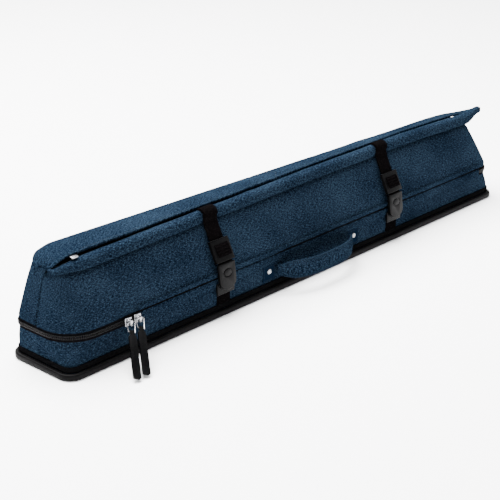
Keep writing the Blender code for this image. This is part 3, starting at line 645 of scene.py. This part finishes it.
# ---------------------------------------------------------------- cloth hinge
# One strip of black tape is sewn to both halves along the back, and is the lid's hinge.
low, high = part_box("tray_hinge_strip")
_, lid_strip_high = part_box("lid_hinge_strip")
hinge_tall = lid_strip_high.z - low.z
HINGE_T = 0.0009


def hinge_place(u, v):
    bulge = 0.0003 + 0.0006 * sin(pi * v) ** 2
    return Vector((high.x + (low.x - high.x) * u, high.y + bulge, low.z + hinge_tall * v))


hinge = lay_cloth(80, 24, hinge_place, high.x - low.x, hinge_tall)
thicken(hinge, HINGE_T)
finish_piece(hinge, "cloth_hinge", black_tape, None, ["tray_hinge_strip", "lid_hinge_strip"])
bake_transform(hinge)

# ---------------------------------------------------------------- lid: four cloth panels
# The lid stands upright over the zipper and then leans in to a narrow top. It is sewn from
# four padded panels, and the seams pull in between them.
TOP_FRONT_Y = -0.024
TOP_BACK_Y = 0.027
LID_STRAIGHT = PARTING_Z + 0.0095          # the lid's walls start to lean in here
LID_UPRIGHT = 0.11                         # share of a panel's height that stands straight
LID_START = PARTING_Z + 0.0005
UNDER_FLAP = 0.0008                        # the panels reach this far up under the lip and flap
crown = rounded(wall_low.x + 0.0065, wall_high.x - 0.038, TOP_FRONT_Y, TOP_BACK_Y,
                (0.012, 0.012, 0.010, 0.019), -0.008)
FRONT_TOP = ((-0.453, 0.1328), (0.0, 0.1388), (0.249, 0.1400), (0.417, 0.1350))


def front_top(x):
    return between(FRONT_TOP, x)


def back_top(x):
    return 0.1365 - 0.0215 * x


def top_height(x, y):
    share = (y - TOP_FRONT_Y) / (TOP_BACK_Y - TOP_FRONT_Y)
    pulled = 0.0075 * (1 - smooth_step(crown["x0"], crown["x0"] + 0.040, x)) * share
    return front_top(x) + (back_top(x) - front_top(x)) * share - pulled


def lid_place(path, puff, dip, groove, seed):
    """A lid panel: swollen by its foam, pulled in at its seams, with a groove under the lip."""
    def place(u, v):
        stretch, t = path(u)
        lean = max(0.0, (v - LID_UPRIGHT) / (1 - LID_UPRIGHT))
        p = mix_plans(waist, crown, lean)
        cx, cy = plan_point(crown, stretch, t)
        if v < LID_UPRIGHT:
            z = LID_START + (LID_STRAIGHT - LID_START) * v / LID_UPRIGHT
        else:
            z = LID_STRAIGHT + (top_height(cx, cy) + UNDER_FLAP - LID_STRAIGHT) * lean
        x, y = plan_point(p, stretch, t)
        swell = puff * (sin(pi * min(1, max(0, v))) ** 0.7)
        swell += 0.0009 * wave(x, y, z, 0.11, seed) + 0.0004 * wave(x, y, z, 0.035, seed + 5)
        if stretch == "back":
            swell *= smooth_step(0.09, 0.22, v)
        swell -= groove * (smooth_step(0.84, 0.925, v) - smooth_step(0.955, 1.0, v))
        edge = min(u, 1 - u) * ROUND_LENGTH
        swell -= dip * (1 - smooth_step(0.0, 0.005, edge))
        pucker = 1 - smooth_step(0.0, 0.022, edge)
        swell += 0.0007 * pucker * sin(z * 700 + 2 * seed)
        return Vector((*plan_point(p, stretch, t, swell), z))
    return place


PANELS = {
    "front": (("near_low", "near_front", "front", "far_front", "far_low"), 460),
    "far": (("far_high", "far_back"), 40),
    "back": (("back",), 300),
    "near": (("near_back", "near_high"), 44),
}
LID_PUFF = 0.0016
SEAM_DIP = 0.0030
LIP_GROOVE = 0.0038
PANEL_TALL = 0.095                         # up the slope of the wall
for seed, (part, (names, columns)) in enumerate(PANELS.items()):
    path, length = course(names)
    under_lip = LIP_GROOVE if part == "front" else 0.0
    place = lid_place(path, LID_PUFF, SEAM_DIP, under_lip, seed * 7)
    panel = lay_cloth(columns, 56, place, length, PANEL_TALL)
    thicken(panel, WALL_T)
    finish_piece(panel, "lid_" + part + "_cloth", navy_cloth, "lid",
                 ["lid_" + part + "_panel"])

lid_pad_low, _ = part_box("lid_pad")
PAD_UPRIGHT = 0.14
PAD_REACH = 0.62                           # share of the slope that the padding covers
PAD_IN = 0.0043
PAD_TALL = 0.06
PAD_T = 0.0045


def lid_pad_place(u, v):
    stretch, t = round_case(u)
    lean = max(0.0, (v - PAD_UPRIGHT) / (1 - PAD_UPRIGHT)) * PAD_REACH
    p = mix_plans(waist, crown, lean)
    cx, cy = plan_point(crown, stretch, t)
    z = LID_STRAIGHT + (top_height(cx, cy) - LID_STRAIGHT) * lean
    if v < PAD_UPRIGHT:
        z = lid_pad_low.z + (LID_STRAIGHT - lid_pad_low.z) * v / PAD_UPRIGHT
    quilt = 0.0005 * abs(sin(u * ROUND_LENGTH / QUILT_PITCH * pi)) - PAD_IN
    return Vector((*plan_point(p, stretch, t, quilt), z))


lid_pad = lay_cloth(420, 24, lid_pad_place, ROUND_LENGTH, PAD_TALL, closed=True)
thicken(lid_pad, PAD_T)
finish_piece(lid_pad, "lid_pad_lining", lining_cloth, "lid", ["lid_pad"])
pocket_floor = soft_copy("pocket_floor", "pocket_floor_cloth", lining_cloth, "lid", 0.0006)

# ---------------------------------------------------------------- rolled lip and its ear
# The lid's front top edge is rolled into a soft lip that stands about 8 mm proud. At the
# far end it narrows into an ear that reaches past the end of the lid.
LIP_PROFILE = ((-0.0296, -0.0068), (-0.0314, -0.0058), (-0.0322, -0.0008), (-0.0312, 0.0040),
               (-0.0280, 0.0072), (-0.0230, 0.0084), (-0.0190, 0.0079), (-0.0180, 0.0052),
               (-0.0184, 0.0022), (-0.0216, 0.0015), (-0.0254, 0.0016), (-0.0284, -0.0020))
lip_low, lip_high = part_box("lid_lip")
NEAR_TOP_X = lip_low.x
FAR_TOP_X = wall_high.x - 0.048


def loop_point(points, t):
    """A point on a smooth closed line through the profile's points."""
    n = len(points)
    i = int(t * n) % n
    f = t * n - int(t * n)
    a, b, c, d = (Vector(points[(i + k) % n]) for k in (-1, 0, 1, 2))
    squared = (2 * a - 5 * b + 4 * c - d) * f * f
    cubed = (3 * b - a - 3 * c + d) * f ** 3
    return 0.5 * (2 * b + (c - a) * f + squared + cubed)


LIP_START_X = NEAR_TOP_X - 0.0110
LIP_END_X = lip_high.x + 0.0040
LIP_MIDDLE = (-0.0232, 0.0028)             # the profile shrinks toward this point at the ends
web_low, web_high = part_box("strap_web_far")
STRAP_X = (web_low.x + web_high.x) / 2     # the straps stand this far from the middle
STRAP_PRESS = 0.0024
LIP_GATHER = 0.055                         # the lip thins toward its near end over this length


def pressed(x):
    """How much a strap presses the lip in at x, from 0 to 1."""
    return 1 - smooth_step(0.013, 0.024, abs(abs(x) - STRAP_X))


def lip_place(u, v):
    x = LIP_START_X + (LIP_END_X - LIP_START_X) * u
    y, h = loop_point(LIP_PROFILE, 1 - v)
    ear = smooth_step(FAR_TOP_X, lip_high.x, x)
    start = 1 - smooth_step(LIP_START_X, LIP_START_X + LIP_GATHER, x)
    blunt = min(1.0, (x - LIP_START_X) / 0.004, (LIP_END_X - x) / 0.005)
    blunt = (1 - (1 - max(0.0, blunt)) ** 2) ** 0.5
    thin = (1 - 0.40 * ear) * (1 - 0.50 * start) * max(0.04, blunt)
    mid_y, mid_h = LIP_MIDDLE
    curl = 1 - smooth_step(LIP_START_X, LIP_START_X + 0.022, x)
    y = mid_y + (y - mid_y) * thin + 0.0070 * ear + 0.0075 * curl
    y += STRAP_PRESS * pressed(x) * smooth_step(-0.0225, -0.0300, y)
    h = mid_h + (h - mid_h) * thin + 0.0028 * ear - 0.0035 * curl
    sag = 0.0006 * wave(x, y, 0, 0.06, 21) + 0.0003 * wave(x, y, h, 0.02, 4)
    gather = 0.0004 * start * sin(x * 700)
    return Vector((x, y + sag + gather, front_top(min(x, FAR_TOP_X)) + h + sag * 0.5))


def close_ends(ob):
    """Fill the open ends of a tube and face its surface outward."""
    make_active(ob)
    bpy.ops.object.mode_set(mode="EDIT")
    bpy.ops.mesh.select_all(action="SELECT")
    bpy.ops.mesh.fill_holes(sides=40)
    bpy.ops.mesh.normals_make_consistent(inside=False)
    bpy.ops.object.mode_set(mode="OBJECT")


LIP_ROUND = 0.045                          # the length of cloth round the roll
lip = lay_cloth(420, 30, lip_place, LIP_END_X - LIP_START_X, LIP_ROUND, closed=True)
close_ends(lip)
finish_piece(lip, "lid_lip_roll", navy_cloth, "lid", ["lid_lip"], 60)

# ---------------------------------------------------------------- flap over the pocket
# A padded flap covers the pocket in the top. It is sewn down along the back, its front edge
# is hemmed, and it gapes a little at the near end, where the zipper starts.
FLAP_FRONT_Y = -0.0172
FLAP_BACK_Y = 0.0268
FLAP_START_X = crown["x0"] - 0.0015
FLAP_END_X = LIP_END_X - 0.003
FLAP_T = 0.0030
FLAP_LIFT = 0.0113                         # the front edge over the panel tops
FLAP_SEWN_DROP = 0.0028                    # where it is sewn down at the near end
FLAP_EAR_DROP = 0.0036                     # where it lies over the lip's ear
FLAP_PUFF = 0.0030
FLAP_SAG = 0.0070                          # how far the gathered near end falls
SEAM_X = -0.045                            # the rounded end of a sewn top panel
SEAM_BOW = 0.020
SEAM_DEEP = 0.0013
SEAM_HALF = 0.0024


def corner_inset(x, radius):
    """How far a rounded corner of the flap's near end draws its edge in."""
    short = max(0.0, 1 - (x - FLAP_START_X) / radius)
    return radius * (1 - max(0.0, 1 - short * short) ** 0.5)


def flap_place(u, v):
    x = FLAP_START_X + (FLAP_END_X - FLAP_START_X) * u
    far = smooth_step(FAR_TOP_X - 0.006, FLAP_END_X, x)
    over = smooth_step(FAR_TOP_X - 0.020, FAR_TOP_X + 0.025, x)     # it lies over the lip at the ear
    front_y = FLAP_FRONT_Y + corner_inset(x, 0.012) - 0.0042 * over
    back_y = FLAP_BACK_Y - corner_inset(x, 0.019)
    back_y += (front_y + 0.0110 - back_y) * far        # the far end closes to a point with the ear
    y = front_y + (back_y - front_y) * v
    on_top = top_height(min(x, FAR_TOP_X), y)
    sewn = 1 - smooth_step(FLAP_START_X + 0.010, FLAP_START_X + 0.034, x)
    front_lift = FLAP_LIFT - FLAP_SEWN_DROP * sewn - FLAP_EAR_DROP * over
    z = on_top + front_lift * (1 - v) + (0.0042 + 0.0034 * far) * v
    z += FLAP_PUFF * sin(pi * v) ** 0.8 * (1 - far)
    gape = smooth_step(-0.445, -0.420, x) * (1 - smooth_step(-0.37, -0.31, x))
    z += 0.0010 * gape * (1 - v) ** 3
    end = 1 - smooth_step(FLAP_START_X, FLAP_START_X + 0.020, x)
    z -= FLAP_SAG * end ** 1.6
    across = smooth_step(0.0, 0.06, v) * (1 - smooth_step(0.94, 1.0, v))
    seam_x = SEAM_X + SEAM_BOW * sin(pi * v)
    seam = SEAM_DEEP * max(0.0, 1 - abs(x - seam_x) / SEAM_HALF)
    z += (0.0013 * wave(x, y, 0, 0.10, 31) + 0.0006 * wave(x, y, 0, 0.03, 12)) * across
    z += end * 0.0010 * sin(v * 34) - seam
    y += 0.0011 * wave(x, 0, 0, 0.09, 6) * (1 - v)
    return Vector((x, y, z))


flap = lay_cloth(420, 30, flap_place, FLAP_END_X - FLAP_START_X, FLAP_BACK_Y - FLAP_FRONT_Y)
thicken(flap, FLAP_T, even=False)          # its gathered end would spike with an even offset
round_edges(flap, 0.0012, 3, 60)
finish_piece(flap, "pocket_flap", navy_cloth, "flap", ["flap_panel"], 60)

HEM_ROW = 0.075                            # how far back the hem is sewn, as a share of the flap
UP = Vector((0, 0, 1))
hem_line = [flap_place(0.06 + 0.90 * k / 160, HEM_ROW) + Vector((0, 0, 0.0001)) for k in range(161)]
stitch_row("flap_hem_stitches", hem_line, UP, "flap")
panel_seam = []
for k in range(21):
    v = 0.1 + 0.04 * k
    row_x = -0.0400 + SEAM_BOW * sin(pi * v)        # 5 mm past the seam's dip
    spot = flap_place((row_x - FLAP_START_X) / (FLAP_END_X - FLAP_START_X), v)
    panel_seam.append(spot + Vector((0, 0, 0.0002)))
stitch_row("flap_seam_stitches", panel_seam, UP, "flap")


def top_strip(name, y0, y1, h0, h1, x0, x1, thick, material, body, node):
    """A narrow strip that lies along the mouth of the pocket."""
    def place(u, v):
        x = x0 + (x1 - x0) * u
        return Vector((x, y0 + (y1 - y0) * v, front_top(x) + h0 + (h1 - h0) * v))
    strip = lay_cloth(200, 4, place, x1 - x0, y1 - y0)
    thicken(strip, thick)
    finish_piece(strip, name, material, body, [node])


low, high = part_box("pocket_tape_lid")
top_strip("pocket_zipper_tape", low.y, high.y, 0.0013, 0.0013, low.x, high.x, 0.0009,
          black_tape, "lid", "pocket_tape_lid")
low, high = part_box("pocket_coil_flap")
top_strip("pocket_zipper_coil", low.y, high.y, 0.0042, 0.0034, low.x, high.x, 0.0013,
          nylon, "flap", "pocket_coil_flap")

# ---------------------------------------------------------------- straps over the lid
# Each strap is black webbing, sewn into the mouth of the pocket. It passes over the lip,
# is doubled there, and hangs clear of the lid down to its buckle.
WEB_T = 0.0016
PATCH_T = 0.0012                           # the doubled end sewn on top of the webbing
FOLD_T = 0.0013


def along(points, t):
    """A point at an even pace along a line of points."""
    spans = [(b - a).length for a, b in zip(points, points[1:])]
    run = t * sum(spans)
    for a, b, span in zip(points, points[1:], spans):
        if run <= span or b is points[-1]:
            return a.lerp(b, min(1.0, run / span))
        run -= span


def rounded_path(points, turns=3):
    """Corners cut away again and again, which leaves a smooth line between the same ends."""
    for _ in range(turns):
        line = [points[0]]
        for a, b in zip(points, points[1:]):
            line += [a.lerp(b, 0.25), a.lerp(b, 0.75)]
        points = line + [points[-1]]
    return points


def webbing(points, x, width, thick, rows):
    """Flat webbing along a path in Y and Z, and the path's length."""
    path = rounded_path([Vector((x, y, z)) for y, z in points])
    length = sum((b - a).length for a, b in zip(path, path[1:]))

    def place(u, v):
        spot = along(path, 1 - v)
        return Vector((x + width * (u - 0.5), spot.y, spot.z))
    web = lay_cloth(12, rows, place, width, length)
    thicken(web, thick)
    return web, length


buckle_plastic = moulded("buckle_plastic", (0.0007, 0.0007, 0.0008), (0.0020, 0.0020, 0.0022), 0.40, 1500,
                         0.00012, 0.035)
for side in ("near", "far"):
    root_low, root_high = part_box("strap_root_" + side)
    web_low, web_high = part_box("strap_web_" + side)
    sx = (web_low.x + web_high.x) / 2
    width = web_high.x - web_low.x
    top = root_high.z - 0.0014
    outer = root_low.y
    path = ((root_high.y, top), (outer + 0.0050, top), (outer - 0.0004, top - 0.0035), (outer, root_low.z),
            (web_high.y - 0.0012, web_high.z - 0.006), (web_low.y + 0.0006, web_low.z))
    web, length = webbing(path, sx, width, WEB_T, 70)
    finish_piece(web, "strap_" + side + "_webbing", black_webbing, None,
                 ["strap_root_" + side, "strap_web_" + side])
    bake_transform(web)

    doubled = ((root_high.y - 0.003, top + 0.0012), (outer + 0.0046, top + 0.0012),
               (outer - 0.0016, top - 0.0030), (outer - 0.0016, root_low.z + 0.001))
    patch, length = webbing(doubled, sx, width - 0.0006, PATCH_T, 26)
    finish_piece(patch, "strap_" + side + "_doubled_end", black_webbing, "lid")

    soft_copy("strap_glide_" + side, "strap_" + side + "_glide", buckle_plastic,
              "glide_" + side, 0.0011, 3, 50)
    low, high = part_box("glide_fold_" + side)

    def fold_place(u, v, low=low, high=high):
        rib = 0.0004 * sin(v * pi * 8)
        y = low.y + (high.y - low.y) * v
        z = low.z + (high.z - low.z) * v
        swell = 0.0012 * sin(pi * v) ** 0.5
        return Vector((low.x + (high.x - low.x) * u, y - swell - rib, z + 0.3 * (swell + rib)))
    fold = lay_cloth(10, 32, fold_place, high.x - low.x, (high - low).length)
    thicken(fold, FOLD_T)
    finish_piece(fold, "strap_" + side + "_fold", black_webbing, "glide_" + side,
                 ["glide_fold_" + side])

    soft_copy("buckle_plate_" + side, "buckle_" + side + "_plate", buckle_plastic,
              "strap_" + side, 0.0009, 3, 50)
    soft_copy("buckle_button_" + side, "buckle_" + side + "_release", buckle_plastic,
              "button_" + side, 0.0004, 2, 50)
    soft_copy("buckle_base_" + side, "buckle_" + side + "_base", buckle_plastic,
              "tray", 0.0009, 3, 50)

    low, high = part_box("lower_web_" + side)
    path = ((high.y - 0.0014, high.z), (low.y + 0.0014, high.z - 0.004), (low.y + 0.0014, low.z + 0.012),
            (high.y - 0.0016, low.z))
    web, length = webbing(path, sx, width, WEB_T, 30)
    finish_piece(web, "lower_strap_" + side, black_webbing, "tray", ["lower_web_" + side])

# ---------------------------------------------------------------- handle
# A soft band of the case's own cloth, bowed out for the hand and held by a riveted tab at
# each end. The band is plain.
chrome = moulded("plated_metal", (0.15, 0.153, 0.16), (0.25, 0.254, 0.265), 0.24, 500, 0.00002)
chrome.node_tree.nodes["Principled BSDF"].inputs["Metallic"].default_value = 1.0
grip_low, grip_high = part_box("handle_grip")
grip_z = (grip_low.z + grip_high.z) / 2
GRIP_HALF = (grip_high.x - grip_low.x) / 2 - 0.0015
GRIP_END = 0.0072                          # half heights, at the ends and in the middle
GRIP_TALL = 0.0135
GRIP_T = 0.0021                            # half its thickness
GRIP_BOW = 0.0277
BOW_POWER = 3.2                            # how flat the middle of the bow is
GRIP_Y = wall_low.y - 0.0074               # the line through the middle of the grip's ends


def grip_place(u, v):
    s = -1 + 2 * u
    bow = GRIP_BOW * (1 - abs(s) ** BOW_POWER)
    slope = GRIP_BOW * BOW_POWER * abs(s) ** (BOW_POWER - 1) * (1 if s > 0 else -1)
    slant = atan2(slope, GRIP_HALF)
    tall = GRIP_END + (GRIP_TALL - GRIP_END) * min(1.0, (1 - abs(s)) / 0.22) ** 0.8
    turn = -2 * pi * v
    up = (1 if sin(turn) > 0 else -1) * abs(sin(turn)) ** 0.75 * tall
    out = (1 if cos(turn) > 0 else -1) * abs(cos(turn)) ** 0.35 * GRIP_T
    x = GRIP_HALF * s
    out += 0.0003 * wave(x, up, 0, 0.02, 17)
    return Vector((x + sin(slant) * out, GRIP_Y - bow - cos(slant) * out, grip_z + up))


GRIP_LONG = 0.19                           # the cloth's size, along the grip and round it
GRIP_ROUND = 0.055
grip = lay_cloth(120, 32, grip_place, GRIP_LONG, GRIP_ROUND, closed=True)
close_ends(grip)
finish_piece(grip, "handle_grip_cloth", navy_cloth, "handle", ["handle_grip"], 60)
STITCH_GAUGE = 0.0030
TAB_SEWN = 0.0018                          # the stitches run this far inside a tab's edge
OUTWARD = Vector((0, -1, 0))
for edge, v in (("upper", 0.185), ("lower", 0.815)):
    seam = [grip_place(0.04 + 0.92 * k / 80, 1 - v) for k in range(81)]
    stitch_row("handle_" + edge + "_stitches", seam, OUTWARD, "handle", STITCH_GAUGE)
for side in ("near", "far"):
    low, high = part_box("handle_tab_" + side)
    y = low.y - 0.0001
    x0, x1 = low.x + TAB_SEWN, high.x - TAB_SEWN
    z0, z1 = low.z + TAB_SEWN, high.z - TAB_SEWN
    square = [Vector((x, y, z)) for x, z in ((x0, z0), (x1, z0), (x1, z1), (x0, z1), (x0, z0))]
    stitch_row("handle_tab_" + side + "_stitches", square, OUTWARD, "tray", STITCH_GAUGE)
    tab = soft_copy("handle_tab_" + side, "handle_tab_" + side + "_cloth", navy_cloth,
                    "tray", 0.0006)
    paint_node("rivet_" + side, chrome)

# ---------------------------------------------------------------- sliders and long pulls
# Two plated sliders stand on the zipper near the front corner. Each has a wire loop and a
# long flat black pull.
pull_rubber = moulded("pull_rubber", (0.0006, 0.0006, 0.0007), (0.0018, 0.0018, 0.0020), 0.28, 1400,
                      0.0001, 0.05)
for side in ("left", "right"):
    soft_copy("slider_" + side, "zipper_slider_" + side, chrome, "slider_" + side, 0.0007)
    paint_node("pull_link_" + side, chrome)
    soft_copy("pull_tab_" + side, "zipper_pull_" + side, pull_rubber, "pull_" + side, 0.0007)
soft_copy("pocket_slider", "pocket_zipper_slider", chrome, "pocket_slider", 0.0008)
